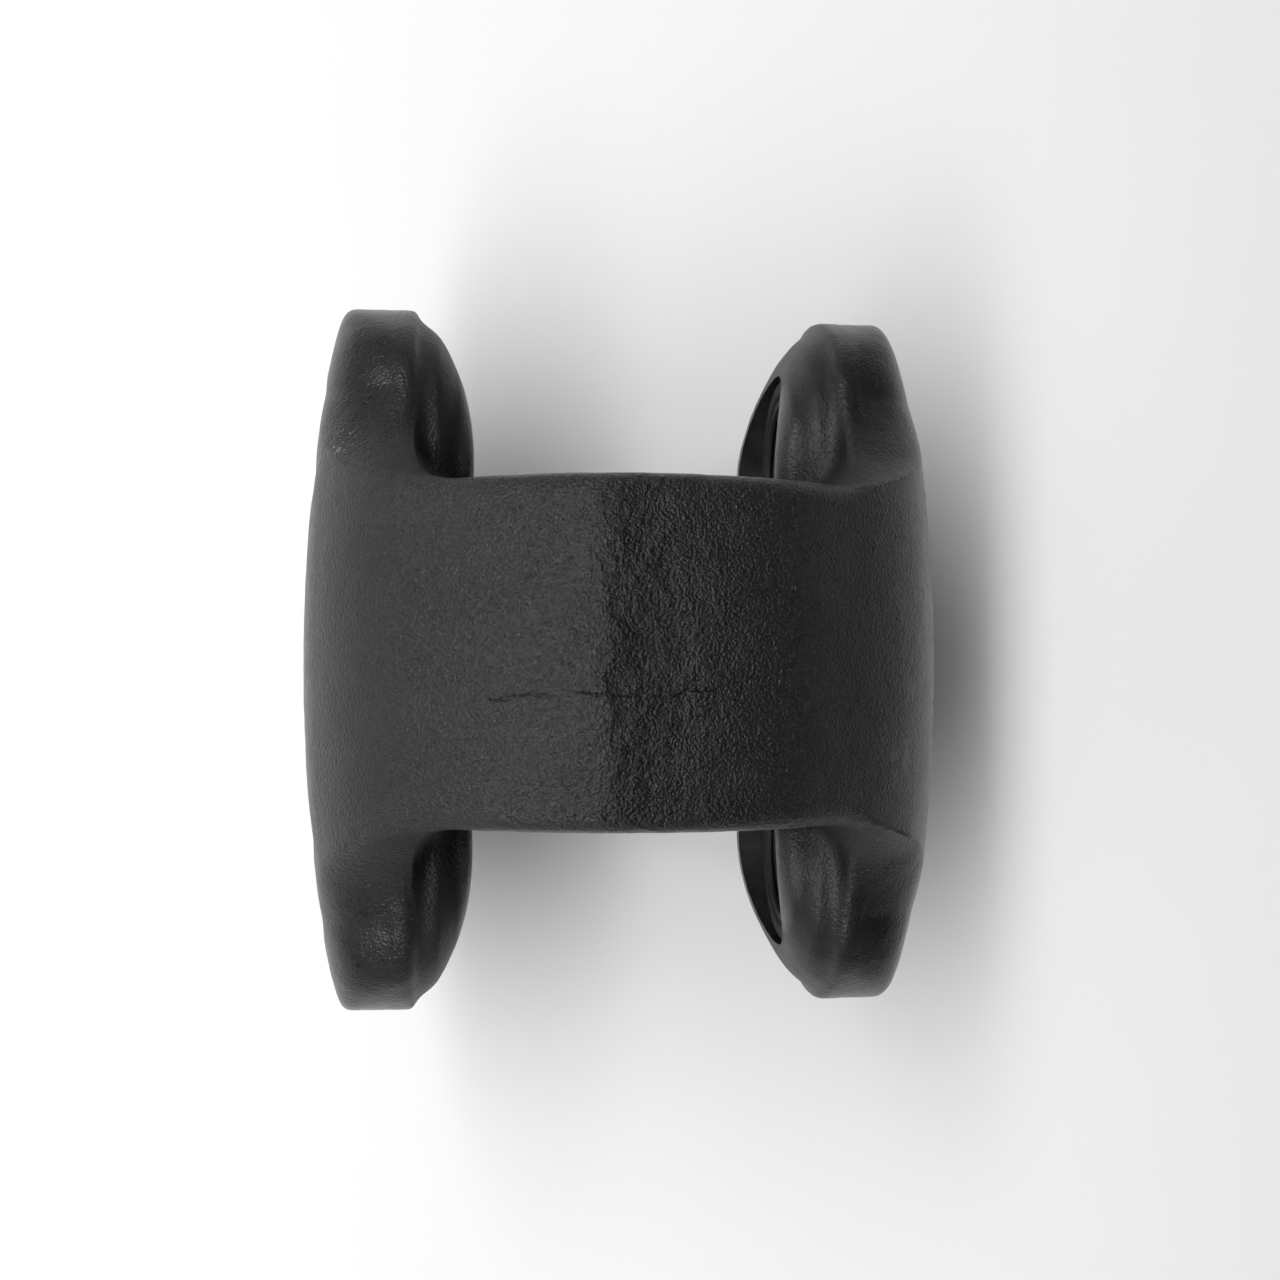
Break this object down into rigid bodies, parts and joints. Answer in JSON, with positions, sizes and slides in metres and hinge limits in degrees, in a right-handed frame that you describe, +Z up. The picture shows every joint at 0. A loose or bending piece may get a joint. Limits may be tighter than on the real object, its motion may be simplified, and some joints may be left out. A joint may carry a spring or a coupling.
{
  "type": "universal joint centre yoke",
  "caption": "Forged ring with two pairs of ears that carries bearing cups on parallel cross axes, the middle piece of a double universal joint.",
  "frame": {"origin": "centre of the ring, midway between the four bores", "axes": "+X across the ears along the bore axes, +Y along the ring's axis from one joint to the other, +Z up out of the table, towards the viewer of the picture"},
  "size_m": [0.116, 0.1308, 0.1146],
  "materials": {
    "black_paint": "satin black paint over as-forged scale",
    "ground_steel": "ground and oiled",
    "needle_steel": "fine ground",
    "washer_nylon": "natural moulded",
    "seal_rubber": "matt moulded",
    "spring_steel": "dark phosphated"
  },
  "bodies": {
    "yoke": {"yoke_forging": "black_paint", "cup_a_right": "ground_steel", "seal_a_right": "seal_rubber", "thrust_washer_a_right": "washer_nylon", "snap_ring_a_right": "spring_steel", "cup_a_left": "ground_steel", "seal_a_left": "seal_rubber", "thrust_washer_a_left": "washer_nylon", "snap_ring_a_left": "spring_steel", "cup_b_right": "ground_steel", "seal_b_right": "seal_rubber", "thrust_washer_b_right": "washer_nylon", "snap_ring_b_right": "spring_steel", "cup_b_left": "ground_steel", "seal_b_left": "seal_rubber", "thrust_washer_b_left": "washer_nylon", "snap_ring_b_left": "spring_steel"},
    "needles_a_right": {"needle_cage_a_right": "needle_steel"},
    "needles_a_left": {"needle_cage_a_left": "needle_steel"},
    "needles_b_right": {"needle_cage_b_right": "needle_steel"},
    "needles_b_left": {"needle_cage_b_left": "needle_steel"}
  },
  "joints": [
    {"name": "needle_spin_a_right", "type": "hinge", "parent": "yoke", "child": "needles_a_right", "pos_m": [0.04, 0.0375, 0], "axis": [1, 0, 0], "continuous": true},
    {"name": "needle_spin_a_left", "type": "hinge", "parent": "yoke", "child": "needles_a_left", "pos_m": [-0.04, 0.0375, 0], "axis": [1, 0, 0], "continuous": true},
    {"name": "needle_spin_b_right", "type": "hinge", "parent": "yoke", "child": "needles_b_right", "pos_m": [0.04, -0.0375, 0], "axis": [1, 0, 0], "continuous": true},
    {"name": "needle_spin_b_left", "type": "hinge", "parent": "yoke", "child": "needles_b_left", "pos_m": [-0.04, -0.0375, 0], "axis": [1, 0, 0], "continuous": true}
  ]
}
